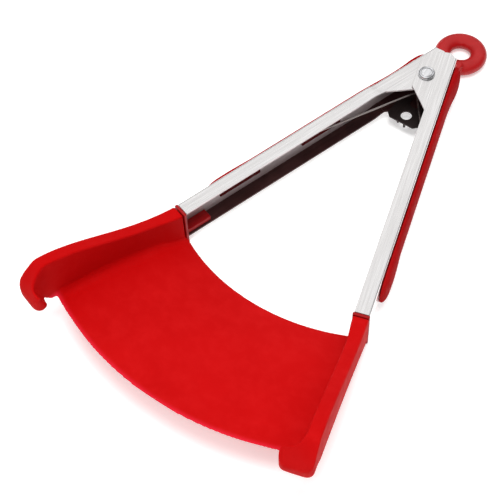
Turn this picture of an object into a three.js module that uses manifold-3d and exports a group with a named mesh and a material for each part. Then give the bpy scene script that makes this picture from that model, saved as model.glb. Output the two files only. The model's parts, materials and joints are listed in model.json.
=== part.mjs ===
// Spring loaded kitchen tongs: two sheet steel channel arms on one rivet, a torsion spring that
// holds them open, a lock slide with a pull ring, soft grips, and silicone jaws, of which the
// left one carries a thin spatula blade that the right one sweeps over.
//
// Millimetres, +Z up. Each arm is drawn with its pivot at the origin: its length runs along -Y
// ("along"), and the back of its channel faces +X on the right arm and -X on the left ("out").
import * as THREE from 'three';
import { mergeVertices } from 'three/addons/utils/BufferGeometryUtils.js';
import Module from 'manifold-3d';

const wasm = await Module();
wasm.setup();

// ---------- driving dimensions ----------

const openAngle = THREE.MathUtils.degToRad(17.03); // each arm from the middle line, at rest
const seatGap = 0.3; // between pieces that touch
const holeGap = 0.1; // round the rivet's shank

const armLength = 170; // pivot to the steel's front end
const armTail = 17.6; // pivot to the channel's rear end
const nestedTail = 19.4; // the same on the left arm
const backOut = 14.1; // pivot line to the channel's outer back
const flangeWidth = 8.6;
const channelHeight = 21.5; // outside
const stepStart = 27; // where the left arm begins to widen from its nested rear end
const stepLength = 7;
const sheet = 1.0;
const outerBend = 1.6;

const earStart = 26.7; // where an ear leaves its flange
const earTip = 10.8; // where an ear reaches its full width
const earReach = 6.0; // past the pivot line, towards the other arm
const nestedReach = 4.6; // the same on the left arm, whose ears turn inside the right channel
const earTail = 20.3;
const earCorners = [[-12, -6], [-19, -1.8], [-earTail, 9.8]]; // [along, out] behind the pivot
const nestedCorners = [[-10.3, -4.6], [-15.6, -3.6], [-18.9, -1.2], [-earTail, 2.8], [-20.9, 8]];

const shankRadius = 3.5;
const headRadius = 5.0;
const topHeadHeight = 2.2;
const lowHeadHeight = 1.2;

const wire = 1.1;
const coilRadius = 5.1; // middle of the wire
const legLevel = 4.5; // height of each spring leg above and below the middle
const leftLegAngle = THREE.MathUtils.degToRad(28.4); // from the middle line
const rightLegAngle = THREE.MathUtils.degToRad(38.4);

const slideSheet = 1.0;
const slideTravel = 9.0;
const slideHeadHalf = 10.5;
const slideFront = 26.4; // pivot to the head's front edge
const slideNeck = 14.0; // pivot to where the head begins to narrow
const stemHalf = 6.2;
const slotGap = 0.25;
const slideHoleRadius = 3.3;
const slideHoleMargin = 2.9; // metal in front of the hole
const lugOut = 2.2; // middle line to a lug's centre
const lugThickness = 1.2;
const toothGap = 0.3; // round a lug in its notch

const ringRadius = 11.1; // middle of the ring's section
const ringSectionOut = 5.1;
const ringSectionUp = 4.3;
const ringGap = 6.6; // ears' rear end to the ring's section
const bossHalf = 8.0;
const bossHeight = 5.4;
const stemGrip = 8.0; // length of the slide inside the ring's boss

const gripStart = -16.5;
const gripSetBack = 18; // the grip's toe to the steel's front end
const gripHeight = 17;
const gripThickness = 2.8;
const gripHeelBulge = 1.6;
const gripToeBulge = 0.9;
const anchorSetBacks = [100, 41]; // from the steel's front end
const anchorLength = 26;
const anchorHeight = 4.4;
const anchorLip = 1.4; // the inner pad past its neck, on every side
const anchorPad = 1.5; // the inner pad's thickness

const plugLength = 16;
const plugHeight = 3.0;
const plugSetBack = 1.0; // from the flanges' free edges
const collarThickness = 1.7;
const collarProud = 0.6; // past the silicone block's sides
const ribThickness = 3.4;
const ribInset = 4.6; // from the wall's top and underside
const ribLength = 66; // past the steel's end

const wallThickness = 7.1;
const neckLength = 22; // the steel's end to where the block has narrowed to the wall
const peakLength = 87; // the steel's end to where the top edge is highest
const peakHeight = 38.2;
const tipLength = 101; // the steel's end to the front of the hook
const tipHeight = 25; // where the front chamfer ends
const hookUnder = 19; // the hook's underside
const hookReach = 3.8; // past the pivot line, towards the other jaw
const hookThickness = 8.2; // at its foot
const hookLip = 1.3; // at its top
const hookCorner = 3.5;
const footDrop = 15.4; // the resting face below the middle
const footLength = 10;

const bladeSetForward = 5.5; // the steel's end to the middle of the blade's rear edge
const bladeRearArc = 116;
const bladeLength = 85;
const bladeFrontArc = 177;
const bladeRise = 13.6; // rear of the blade's top, below the middle
const bladeCurve = 385; // radius of its rising profile
const bladeSlope = THREE.MathUtils.degToRad(21); // at the rear
const bladeThickness = 1.8;
const bladeUnderRight = 9.0; // how far out the blade ends under the right jaw
const sweepGap = 1.0; // right jaw over the blade, at the rear
const sweepRise = 5.0; // and how much more at the front

// ---------- sizes that follow ----------

const nestedHeight = channelHeight - 2 * (sheet + seatGap); // the left arm's rear fits inside the right
const channelSteps = Math.round((armLength + armTail) / (stepLength / 2));
const jawStart = armLength + collarThickness + 2 * seatGap;
const bladeStart = armLength;
const neckEnd = armLength + neckLength;
const wallPeak = armLength + peakLength;
const tipEnd = armLength + tipLength;
const footEnd = armLength + footLength;
const ribEnd = armLength + ribLength;
const bladeRear = armLength + bladeSetForward;
const bladeFront = bladeRear + bladeLength;
const gripEnd = armLength - gripSetBack;
const anchorPlaces = anchorSetBacks.map((back) => armLength - back);

// ---------- helpers ----------

function toSolid(geometry) {
  const bare = geometry.clone();
  bare.deleteAttribute('normal');
  bare.deleteAttribute('uv');
  const merged = mergeVertices(bare, 1e-4);
  return new wasm.Manifold(new wasm.Mesh({
    numProp: 3,
    vertProperties: new Float32Array(merged.attributes.position.array),
    triVerts: new Uint32Array(merged.index.array),
  }));
}

function toGeometry(solid) {
  const mesh = solid.getMesh();
  const geometry = new THREE.BufferGeometry();
  geometry.setAttribute('position', new THREE.BufferAttribute(mesh.vertProperties, 3));
  geometry.setIndex(new THREE.BufferAttribute(mesh.triVerts, 1));
  geometry.computeVertexNormals();
  return geometry;
}

// A flat outline seen from above, as [along, out] points, drawn on one side.
function planShape(points, side) {
  return new THREE.Shape(points.map(([along, out]) => new THREE.Vector2(side * out, -along)));
}

function plate(shape, low, high) {
  const geometry = new THREE.ExtrudeGeometry(shape, { depth: high - low, bevelEnabled: false });
  return toSolid(geometry.translate(0, 0, low));
}

// An outline seen from the side, as [along, up] points, made solid from innerOut to outerOut.
function sidewall(points, innerOut, outerOut, side) {
  const shape = new THREE.Shape(points.map(([along, up]) => new THREE.Vector2(along, up)));
  const depth = outerOut - innerOut;
  const geometry = new THREE.ExtrudeGeometry(shape, { depth, bevelEnabled: false });
  const axes = new THREE.Matrix4().makeBasis(
    new THREE.Vector3(0, -1, 0), new THREE.Vector3(0, 0, 1), new THREE.Vector3(-1, 0, 0));
  geometry.applyMatrix4(axes);
  return toSolid(geometry.translate(side > 0 ? outerOut : -innerOut, 0, 0));
}

function block(alongRange, outRange, upRange, side) {
  const [a0, a1] = alongRange;
  const [n0, n1] = outRange;
  return plate(planShape([[a0, n0], [a1, n0], [a1, n1], [a0, n1]], side), upRange[0], upRange[1]);
}

function disc(radius, low, high, x = 0, y = 0) {
  const sides = radius > backOut ? 180 : 40;
  const geometry = new THREE.CylinderGeometry(radius, radius, high - low, sides);
  geometry.rotateX(Math.PI / 2).translate(x, y, (low + high) / 2);
  return toSolid(geometry);
}

// Turned about the pivot from a closed [radius, up] profile.
function turned(points, segments) {
  const profile = points.map(([r, up]) => new THREE.Vector2(r, up));
  if (THREE.ShapeUtils.isClockWise(profile)) profile.reverse();
  const geometry = new THREE.LatheGeometry([...profile, profile[0]], segments);
  return toSolid(geometry.rotateX(Math.PI / 2));
}

function samples(count, from, to, at) {
  return Array.from({ length: count + 1 }, (_, i) => at(from + ((to - from) * i) / count));
}

function curvePoints(curve, count) {
  return curve.getPoints(count).map((p) => [p.x, p.y]);
}

function bend(from, corner, to, count = 6) {
  const curve = new THREE.QuadraticBezierCurve(
    new THREE.Vector2(...from), new THREE.Vector2(...corner), new THREE.Vector2(...to));
  return curvePoints(curve, count);
}

// ---------- arms ----------

// The channel is drawn at full height. The drop is how much lower each flange is at the pivot.
function channel(drop, tail, side) {
  const top = channelHeight / 2;
  const inner = backOut - sheet;
  const free = backOut - flangeWidth;
  const innerBend = outerBend - sheet;
  const half = (up) => [
    ...bend([backOut, up * (top - outerBend)], [backOut, up * top], [backOut - outerBend, up * top], 4),
    [free, up * top],
    [free, up * (top - sheet)],
    ...bend([inner - innerBend, up * (top - sheet)], [inner, up * (top - sheet)],
      [inner, up * (top - sheet - innerBend)], 3),
  ];
  const outline = [...half(1), ...half(-1).reverse()];
  const shape = new THREE.Shape(outline.map(([out, up]) => new THREE.Vector2(side * out, up)));
  const depth = armLength + tail;
  const steps = drop > 0 ? channelSteps : 1;
  const geometry = new THREE.ExtrudeGeometry(shape, { depth, steps, bevelEnabled: false });
  geometry.rotateX(Math.PI / 2).translate(0, tail, 0);
  const position = geometry.attributes.position;
  for (let i = 0; i < position.count; i += 1) {
    const past = (-position.getY(i) - stepStart) / stepLength;
    const lowered = drop * (1 - Math.min(1, Math.max(0, past)));
    position.setZ(i, position.getZ(i) - Math.sign(position.getZ(i)) * lowered);
  }
  return toSolid(geometry);
}

function earOutline(side, reach, corners, tail) {
  const edge = backOut - outerBend;
  return planShape([
    [earStart, backOut - flangeWidth], [earTip, -reach], ...corners, [-tail, edge], [earStart, edge],
  ], side);
}

// The lug's place on the middle line, seen from the closed arm, is where its notch ends.
function hookNotch(side, low, high) {
  const closedTilt = openAngle - closingTravel;
  const deepest = slideFront - lugThickness / 2 - slideTravel;
  const centre = lugOut * Math.cos(closedTilt) - deepest * Math.sin(closedTilt);
  const half = lugThickness / 2 + toothGap;
  return block([deepest - half, earStart], [centre - half, centre + half], [low, high], side);
}

function makeArm(height, reach, corners, tail, side) {
  const top = height / 2;
  let arm = channel((channelHeight - height) / 2, tail, side);
  const ear = earOutline(side, reach, corners, tail);
  arm = arm.add(plate(ear, top - sheet, top)).add(plate(ear, -top, -top + sheet));
  arm = arm.subtract(disc(shankRadius + holeGap, -top - 1, top + 1));
  arm = arm.subtract(hookNotch(side, -top - 1, -top + sheet + 0.2));
  for (const place of anchorPlaces) {
    const half = anchorLength / 2 + seatGap;
    const tall = anchorHeight / 2 + seatGap;
    const through = [backOut - 2 * sheet, backOut + sheet];
    arm = arm.subtract(block([place - half, place + half], through, [-tall, tall], side));
  }
  return toGeometry(arm);
}

// ---------- pivot ----------

function makeRivet() {
  const face = channelHeight / 2 + seatGap;
  const crown = (radius, from, height) => samples(5, 0, Math.PI / 2, (t) => [
    radius * Math.cos(t) ** 0.6, from + height * Math.sin(t)]).slice(0, -1);
  const upper = crown(headRadius, face, topHeadHeight);
  const lower = crown(headRadius, face, lowHeadHeight).map(([r, up]) => [r, -up]).reverse();
  const profile = [
    [0, -face - lowHeadHeight], ...lower, [shankRadius, -face],
    [shankRadius, face], ...upper, [0, face + topHeadHeight],
  ];
  const points = profile.map(([r, up]) => new THREE.Vector2(r, up));
  return new THREE.LatheGeometry(points, 40).rotateX(Math.PI / 2);
}

// One close wound coil with a straight leg to each arm's back: the left leg leaves it high on
// its right, and the right leg low on its left.
function makeSpring() {
  const reach = backOut - sheet - seatGap - wire / 2;
  const inner = coilRadius - wire / 2;
  const outer = coilRadius + wire / 2;
  const half = legLevel + wire / 2;
  const geometry = turned([[inner, -half], [outer, -half], [outer, half], [inner, half]], 32);
  const leg = (side, legAngle) => {
    const tilt = legAngle - openAngle;
    const length = (reach + coilRadius * Math.cos(tilt)) / Math.sin(tilt);
    const rod = new THREE.CylinderGeometry(wire / 2, wire / 2, length, 10);
    rod.translate(side * coilRadius, -length / 2, 0);
    rod.rotateZ(-side * legAngle);
    return toSolid(rod.translate(0, 0, side * legLevel));
  };
  return toGeometry(geometry.add(leg(1, leftLegAngle)).add(leg(-1, rightLegAngle)));
}

// ---------- lock ----------

const slideTop = -nestedHeight / 2 + sheet + seatGap + slideSheet;
const slideLow = slideTop - slideSheet;
const ringPlace = earTail + ringGap + ringSectionOut + ringRadius;
const ringLevel = -footDrop + ringSectionUp;

function makeSlide() {
  const cut = slideHeadHalf * 0.24;
  const end = ringPlace - ringRadius - ringSectionOut + stemGrip;
  const outline = [
    [slideFront, slideHeadHalf - cut], [slideFront - cut, slideHeadHalf], [slideNeck, slideHeadHalf],
    ...bend([slideNeck - 3, slideHeadHalf - 0.6], [slideNeck - 5, stemHalf], [slideNeck - 9, stemHalf], 4),
    [-end, stemHalf],
  ];
  const mirrored = outline.map(([along, out]) => [along, -out]).reverse();
  let slide = plate(planShape([...outline, ...mirrored], 1), slideLow, slideTop);
  const slot = shankRadius + slotGap;
  const rounded = [0, -slideTravel].map((y) => disc(slot, slideLow - 1, slideTop + 1, 0, y));
  slide = slide.subtract(rounded[0]).subtract(rounded[1]);
  slide = slide.subtract(block([0, slideTravel], [-slot, slot], [slideLow - 1, slideTop + 1], 1));
  const holePlace = slideFront - slideHoleMargin - slideHoleRadius;
  slide = slide.subtract(disc(slideHoleRadius, slideLow - 1, slideTop + 1, 0, -holePlace));
  const lug = (side, depth) => block([slideFront - lugThickness, slideFront],
    [lugOut - lugThickness / 2, lugOut + lugThickness / 2], [depth, slideTop - 0.1], side);
  slide = slide.add(lug(-1, -nestedHeight / 2)).add(lug(1, -channelHeight / 2));
  return toGeometry(slide);
}

function makeRing() {
  const section = samples(12, 0, 2 * Math.PI, (t) => [
    ringRadius + ringSectionOut * Math.cos(t), ringSectionUp * Math.sin(t)]).slice(0, -1);
  const loop = [...section, section[0]].map(([r, up]) => new THREE.Vector2(r, up));
  const torus = new THREE.LatheGeometry(loop, 36).rotateX(Math.PI / 2);
  torus.translate(0, ringPlace, ringLevel);
  const front = -(ringPlace - ringRadius - ringSectionOut - 0.8);
  const level = (slideTop + slideLow) / 2;
  const boss = block([front - stemGrip - 1.5, front], [-bossHalf, bossHalf],
    [level - bossHeight / 2, level + bossHeight / 2], 1);
  const pocketHalf = stemHalf + seatGap;
  const pocket = block([front - stemGrip - 0.8 - seatGap, front + 1], [-pocketHalf, pocketHalf],
    [slideLow - seatGap, slideTop + seatGap], 1);
  return toGeometry(toSolid(torus).add(boss).subtract(pocket));
}

// ---------- grips ----------

function makeGrip(side) {
  const inner = backOut + seatGap;
  const outer = inner + gripThickness;
  const heel = outer + gripHeelBulge;
  const toe = outer + gripToeBulge;
  const pad = planShape([
    [gripStart, inner],
    ...bend([gripStart, inner + 1], [gripStart + 1, heel - 0.2], [gripStart + 8, heel], 5),
    ...bend([gripStart + 14, heel - 0.2], [gripStart + 22, outer], [gripStart + 34, outer], 5),
    [gripEnd - 44, outer],
    ...bend([gripEnd - 30, outer + 0.1], [gripEnd - 24, toe], [gripEnd - 16, toe], 4),
    ...bend([gripEnd - 8, toe - 0.2], [gripEnd, outer], [gripEnd, inner], 6),
  ], side);
  let grip = plate(pad, -gripHeight / 2, gripHeight / 2);
  const padFace = backOut - sheet - seatGap;
  for (const place of anchorPlaces) {
    const half = anchorLength / 2;
    const tall = anchorHeight / 2;
    const neck = block([place - half, place + half], [padFace - 0.5, inner + 0.5], [-tall, tall], side);
    const lip = block([place - half - anchorLip, place + half + anchorLip], [padFace - anchorPad, padFace],
      [-tall - anchorLip / 2, tall + anchorLip / 2], side);
    grip = grip.add(neck).add(lip);
  }
  return toGeometry(grip);
}

// ---------- jaws ----------

// The blade's top follows one arc that rises away from the pivot and flattens out.
function bladeTop(radius) {
  const sine = Math.sin(bladeSlope) - (radius - bladeStart) / bladeCurve;
  return -bladeRise + bladeCurve * (Math.sqrt(1 - sine * sine) - Math.cos(bladeSlope));
}

// The right jaw's underside clears the blade by a gap that opens towards the tip.
function sweepLevel(radius) {
  const share = Math.max(0, (radius - jawStart) / (wallPeak - jawStart));
  return bladeTop(radius) + sweepGap + sweepRise * share;
}

const topEdge = new THREE.CubicBezierCurve(
  new THREE.Vector2(jawStart, channelHeight / 2),
  new THREE.Vector2(jawStart + 0.4 * (wallPeak - jawStart), channelHeight / 2 + 3.4),
  new THREE.Vector2(jawStart + 0.69 * (wallPeak - jawStart), peakHeight - 2.2),
  new THREE.Vector2(wallPeak, peakHeight));

function jawPlan(side) {
  const outer = backOut;
  const inner = backOut - wallThickness;
  return planShape([
    [jawStart, backOut - flangeWidth],
    ...bend([jawStart + 7, backOut - flangeWidth], [jawStart + 12, inner], [neckEnd, inner], 4),
    [tipEnd - hookThickness - 7, inner],
    ...bend([tipEnd - hookThickness - 6, inner], [tipEnd - hookThickness - 2, inner - 1],
      [tipEnd - hookThickness, -hookReach + 3], 5),
    ...bend([tipEnd - hookThickness + 0.6, -hookReach + 1.4], [tipEnd - hookThickness + 1, -hookReach],
      [tipEnd - 4, -hookReach], 4),
    ...bend([tipEnd - 2, -hookReach], [tipEnd, -hookReach], [tipEnd, -hookReach + 3], 3),
    ...bend([tipEnd, outer - hookCorner], [tipEnd, outer], [tipEnd - hookCorner, outer], 6),
    [jawStart, outer],
  ], side);
}

function jawSide() {
  const under = -4 * footDrop;
  return [
    [jawStart, under],
    [tipEnd + 1, under],
    [tipEnd + 1, tipHeight - 2],
    ...bend([tipEnd - 0.6, tipHeight], [tipEnd - 1.7, peakHeight - 5.2], [wallPeak + 3, peakHeight - 0.8], 5),
    ...curvePoints(topEdge, 14).reverse(),
  ];
}

// Everything below a wall: the foot at the rear, the blade's line, and the hook's underside.
function undersideTool(level, foot) {
  const hookStart = tipEnd - hookThickness - 8;
  const line = samples(10, foot ? footEnd : bladeStart, hookStart, (r) => [r, level(r)]);
  const rest = foot ? [[bladeStart, -footDrop], [footEnd - 0.5, -footDrop]] : [];
  return turned([
    [bladeStart, -5 * footDrop], ...rest, ...line,
    ...bend([tipEnd - hookThickness - 5, level(wallPeak) + 1], [tipEnd - hookThickness - 2, hookUnder],
      [tipEnd - hookThickness + 1, hookUnder], 4),
    [tipEnd + 20, hookUnder], [tipEnd + 20, -5 * footDrop],
  ], 120);
}

// The hook's back slopes from its thick foot to a thin lip, and takes in nothing of the wall.
function hookScoop(side) {
  const back = tipEnd - hookThickness;
  const open = peakHeight + 1;
  return sidewall([
    [back - 2 * hookThickness, hookUnder + 1], [back, hookUnder + 1], [tipEnd - hookLip, tipHeight],
    [tipEnd - hookLip, open], [back - 2 * hookThickness, open],
  ], -hookReach - 1, backOut - wallThickness, side);
}

function ribOutline(grow) {
  const points = topEdge.getPoints(14).filter((p) => p.x <= ribEnd);
  const upper = points.map((p) => [p.x, p.y - ribInset + grow]);
  const lower = points.map((p) => [p.x, Math.max(sweepLevel(p.x), -footDrop) + ribInset - grow]);
  const start = armLength + seatGap + 0.5;
  const end = points[points.length - 1].x + grow;
  return [
    [start, lower[0][1]], ...lower.slice(1, -1), [end, lower[lower.length - 1][1]],
    [end, upper[upper.length - 1][1]], ...upper.slice(1, -1).reverse(), [start, upper[0][1]],
  ];
}

function ribRange(grow) {
  const middle = backOut - wallThickness / 2;
  return [middle - ribThickness / 2 - grow, middle + ribThickness / 2 + grow];
}

function jawWall(side, level, foot) {
  const outRange = [-hookReach - 1, backOut + 1];
  const blank = plate(jawPlan(side), -2 * footDrop, peakHeight + 1);
  const wall = blank.intersect(sidewall(jawSide(), outRange[0], outRange[1], side));
  return wall.subtract(hookScoop(side)).subtract(undersideTool(level, foot));
}

function ribPocket(side) {
  const [low, high] = ribRange(seatGap);
  return sidewall(ribOutline(seatGap), low, high, side);
}

// The fan between the jaws, drawn with the tongs open and in the left arm's own directions.
function bladeSolid() {
  const lowSlope = (r) => bladeTop(r) - bladeThickness;
  const top = samples(12, bladeStart, tipEnd, (r) => [r, bladeTop(r)]);
  const low = samples(12, tipEnd, bladeStart, (r) => [r, lowSlope(r)]);
  const shell = turned([...top, ...low], 144);
  const arc = (radius, far, from, to) => samples(14, from, to, (t) => [
    radius * Math.sin(t), -(far - radius) - radius * Math.cos(t)]);
  const sweep = (radius, far) => Math.asin((far * Math.sin(openAngle) + 1.1 * backOut) / radius);
  const rearSweep = sweep(bladeRearArc, bladeRear);
  const frontSweep = sweep(bladeFrontArc, bladeFront);
  const rear = arc(bladeRearArc, bladeRear, -rearSweep, rearSweep);
  const front = arc(bladeFrontArc, bladeFront, frontSweep, -frontSweep);
  const outline = [...rear, ...front].map(([x, y]) => new THREE.Vector2(x, y));
  const collarSweep = Math.hypot(jawStart - seatGap, backOut) + seatGap;
  const fan = shell
    .intersect(plate(new THREE.Shape(outline), -2 * footDrop, peakHeight))
    .subtract(disc(collarSweep, -2 * footDrop, peakHeight));
  const limit = (angle, out, side) => {
    const keep = block([0, 2 * tipEnd], [-4 * tipEnd, out], [-3 * footDrop, 2 * peakHeight], side);
    return keep.rotate([0, 0, THREE.MathUtils.radToDeg(angle)]);
  };
  const kept = fan
    .intersect(limit(openAngle, bladeUnderRight, 1))
    .intersect(limit(-openAngle, backOut - wallThickness / 3, -1));
  return kept.rotate([0, 0, THREE.MathUtils.radToDeg(openAngle)]);
}

function makeLeftJaw() {
  const level = (r) => bladeTop(r) - bladeThickness / 2;
  const wall = jawWall(-1, level, true);
  return toGeometry(wall.add(bladeSolid()).subtract(ribPocket(-1)));
}

function makeRightJaw() {
  return toGeometry(jawWall(1, sweepLevel, false).subtract(ribPocket(1)));
}

function makeCore(side) {
  const free = backOut - flangeWidth;
  const low = -channelHeight / 2 + sheet + seatGap;
  const collarFrom = armLength + seatGap;
  const plug = block([armLength - plugLength, collarFrom + 0.5],
    [free + plugSetBack, backOut - sheet - seatGap], [low, low + plugHeight], side);
  const collar = block([collarFrom, collarFrom + collarThickness],
    [free - collarProud, backOut], [-footDrop, channelHeight / 2], side);
  const [inner, outer] = ribRange(0);
  return toGeometry(plug.add(collar).add(sidewall(ribOutline(0), inner, outer, side)));
}

// ---------- assembly ----------

const tipReach = Math.hypot(tipEnd - 4, hookReach);
const closingTravel = openAngle - Math.asin((hookReach + seatGap) / tipReach);

const polishedSteel = new THREE.MeshStandardMaterial({ color: 0xdcdcde, roughness: 0.22, metalness: 1 });
const slideSteel = new THREE.MeshStandardMaterial({ color: 0xb9b9bc, roughness: 0.35, metalness: 1 });
const rivetSteel = new THREE.MeshStandardMaterial({ color: 0xe6e6ea, roughness: 0.12, metalness: 1 });
const springSteel = new THREE.MeshStandardMaterial({ color: 0xc8c8c8, roughness: 0.3, metalness: 1 });
const redSilicone = new THREE.MeshStandardMaterial({ color: 0xd01218, roughness: 0.55, metalness: 0 });
const redGrip = new THREE.MeshStandardMaterial({ color: 0xb01219, roughness: 0.6, metalness: 0 });
const redNylon = new THREE.MeshStandardMaterial({ color: 0xb81a1e, roughness: 0.4, metalness: 0 });
const redRing = new THREE.MeshStandardMaterial({ color: 0xd02828, roughness: 0.45, metalness: 0 });

function named(name, geometry, material) {
  const mesh = new THREE.Mesh(geometry, material);
  mesh.name = name;
  return mesh;
}

const leftSide = new THREE.Group();
leftSide.rotation.z = -openAngle;
leftSide.add(
  named('left_arm', makeArm(nestedHeight, nestedReach, nestedCorners, nestedTail, -1), polishedSteel),
  named('left_grip', makeGrip(-1), redGrip),
  named('left_jaw_core', makeCore(-1), redNylon),
  named('left_jaw_and_blade', makeLeftJaw(), redSilicone));

const rightSide = new THREE.Group();
rightSide.rotation.z = openAngle;
rightSide.add(
  named('right_arm', makeArm(channelHeight, earReach, earCorners, armTail, 1), polishedSteel),
  named('right_grip', makeGrip(1), redGrip),
  named('right_jaw_core', makeCore(1), redNylon),
  named('right_jaw', makeRightJaw(), redSilicone));

const tongs = new THREE.Group();
tongs.add(
  leftSide,
  rightSide,
  named('pivot_rivet', makeRivet(), rivetSteel),
  named('torsion_spring', makeSpring(), springSteel),
  named('lock_slide', makeSlide(), slideSteel),
  named('pull_ring', makeRing(), redRing));

// The origin is on the surface that the tongs lie on, under the middle of their outline.
tongs.updateMatrixWorld(true);
const outlineBox = new THREE.Box3().setFromObject(tongs, true);
const middle = outlineBox.getCenter(new THREE.Vector3());
tongs.position.set(-middle.x, -middle.y, -outlineBox.min.z);

const part = new THREE.Group();
part.add(tongs);

export default part;
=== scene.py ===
"""Spring loaded kitchen tongs: polished channel arms, soft red grips and ring, silicone jaws, thin blade.

Metres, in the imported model's frame. Each arm is drawn straight: "out" is +X, its length runs along -Y
from the pivot, and to_world() then turns it to where the open tongs hold it.
"""

import json
import math

import bmesh
import bpy
from mathutils import Matrix, Vector


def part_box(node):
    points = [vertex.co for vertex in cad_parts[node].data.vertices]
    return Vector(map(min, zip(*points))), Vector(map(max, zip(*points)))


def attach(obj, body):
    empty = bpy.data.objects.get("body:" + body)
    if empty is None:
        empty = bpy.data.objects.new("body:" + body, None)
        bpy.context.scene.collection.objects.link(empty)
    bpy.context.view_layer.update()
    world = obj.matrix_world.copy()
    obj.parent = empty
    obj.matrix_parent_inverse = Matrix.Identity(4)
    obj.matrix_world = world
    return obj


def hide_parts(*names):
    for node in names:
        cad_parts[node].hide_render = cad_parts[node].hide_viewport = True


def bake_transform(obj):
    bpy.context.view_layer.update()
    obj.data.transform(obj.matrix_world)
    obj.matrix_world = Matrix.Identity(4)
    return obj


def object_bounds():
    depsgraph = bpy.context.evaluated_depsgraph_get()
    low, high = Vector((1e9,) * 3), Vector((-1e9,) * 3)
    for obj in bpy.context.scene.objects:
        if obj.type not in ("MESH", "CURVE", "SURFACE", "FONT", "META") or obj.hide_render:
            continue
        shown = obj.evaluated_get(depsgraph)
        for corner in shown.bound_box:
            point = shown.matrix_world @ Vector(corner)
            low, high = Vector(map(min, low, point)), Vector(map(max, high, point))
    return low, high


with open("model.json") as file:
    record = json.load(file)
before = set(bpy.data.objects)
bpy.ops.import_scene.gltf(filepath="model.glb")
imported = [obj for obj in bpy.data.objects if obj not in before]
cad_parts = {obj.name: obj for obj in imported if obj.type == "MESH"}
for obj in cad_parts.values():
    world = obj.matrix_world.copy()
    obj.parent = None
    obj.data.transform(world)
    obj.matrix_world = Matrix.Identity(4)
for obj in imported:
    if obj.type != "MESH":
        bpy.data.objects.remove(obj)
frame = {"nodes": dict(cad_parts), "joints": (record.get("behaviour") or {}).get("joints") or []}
cad_low, cad_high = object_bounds()

# ---------- sizes ----------

MM = 0.001
PIVOT = Vector(frame["joints"][0]["pos_m"])
OPEN_ANGLE = math.radians(17.03)
SEAT_GAP = 0.3 * MM
MERGE_GAP = 0.001 * MM

ARM_LENGTH = 170 * MM
BACK_OUT = 14.1 * MM
FLANGE_WIDTH = 8.6 * MM
SHEET = 1.0 * MM
ANCHOR_PLACES = (70 * MM, 129 * MM)
CHANNEL_HALF = 10.75 * MM

JAW_START = 172.3 * MM
NECK_END = 192 * MM
WALL_THICKNESS = 7.1 * MM
WALL_PEAK = 257 * MM
PEAK_HEIGHT = 38.2 * MM
TIP_END = 271 * MM
HOOK_THICKNESS = 8.2 * MM
HOOK_REACH = 3.8 * MM
HOOK_UNDER = 19 * MM
HOOK_LIP = 1.6 * MM
FOOT_LEVEL = -15.4 * MM
FOOT_END = 178 * MM

BLADE_RISE = 13.6 * MM
BLADE_CURVE = 385 * MM
BLADE_SLOPE = math.radians(21)
BLADE_THICKNESS = 1.8 * MM
BLADE_EDGE = 1.0 * MM
BLADE_REAR = (116 * MM, 59.5 * MM)  # the arc's radius, and its centre's distance in front of the pivot
BLADE_FRONT = (177 * MM, 83.5 * MM)
FILLET = 5.0 * MM


def to_world(side):
    """Straight arm directions to the row frame, for the left arm (-1) or the right (+1)."""
    turn = Matrix.Rotation(side * OPEN_ANGLE, 4, "Z")
    return Matrix.Translation(PIVOT) @ turn @ Matrix.Scale(side, 4, Vector((1, 0, 0)))


# ---------- mesh helpers ----------


def bezier(start, corner, end, count):
    """Points on a quadratic curve, both ends included."""
    points = []
    for i in range(count + 1):
        t = i / count
        points.append(tuple(
            (1 - t) ** 2 * a + 2 * t * (1 - t) * b + t * t * c for a, b, c in zip(start, corner, end)))
    return points


def finish_piece(name, bm, material, body, nodes=(), smooth_angle=40):
    """Turns a bmesh into a named piece that rides on a body and stands for CAD nodes."""
    bmesh.ops.recalc_face_normals(bm, faces=bm.faces)
    mesh = bpy.data.meshes.new(name)
    bm.to_mesh(mesh)
    bm.free()
    piece = bpy.data.objects.new(name, mesh)
    bpy.context.scene.collection.objects.link(piece)
    for each in (material if isinstance(material, (list, tuple)) else [material]):
        mesh.materials.append(each)
    mesh.shade_smooth()
    mesh.set_sharp_from_angle(angle=math.radians(smooth_angle))
    if body:
        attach(piece, body)
    if nodes:
        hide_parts(*nodes)
    return piece


def loft(sections):
    """A skin pulled from station to station through closed sections with the same number of points."""
    bm = bmesh.new()
    place = bm.verts.layers.int.new("place")
    ring = [bm.verts.new(point) for point in sections[0]]
    for i, vert in enumerate(ring):
        vert[place] = i
    edges = [bm.edges.new((ring[i - 1], ring[i])) for i in range(len(ring))]
    first = list(edges)
    for section in sections[1:]:
        made = bmesh.ops.extrude_edge_only(bm, edges=edges)["geom"]
        verts = {g for g in made if isinstance(g, bmesh.types.BMVert)}
        edges = [g for g in made if isinstance(g, bmesh.types.BMEdge) and set(g.verts) <= verts]
        for vert in verts:
            vert.co = section[vert[place]]
    bmesh.ops.contextual_create(bm, geom=first)
    bmesh.ops.contextual_create(bm, geom=edges)
    return bm


def rounded_section(corners, radii):
    """A closed outline with each corner rounded by its own radius."""
    steps = 5
    points = []
    for i, corner in enumerate(corners):
        before = corners[i - 1]
        after = corners[(i + 1) % len(corners)]
        radius = radii[i]
        start = corner + (before - corner).normalized() * radius
        end = corner + (after - corner).normalized() * radius
        points += [Vector(p) for p in bezier(start, corner, end, steps)]
    return points


def rounded_block(bm, matrix, corner, segments):
    """Adds a unit cube put in place by a matrix, with every edge rounded."""
    block = bmesh.ops.create_cube(bm, size=1, matrix=matrix)["verts"]
    bmesh.ops.bevel(
        bm, geom=list({e for v in block for e in v.link_edges}), offset=corner, offset_type="OFFSET",
        affect="EDGES", segments=segments, profile=0.5, material=-1)


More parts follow.
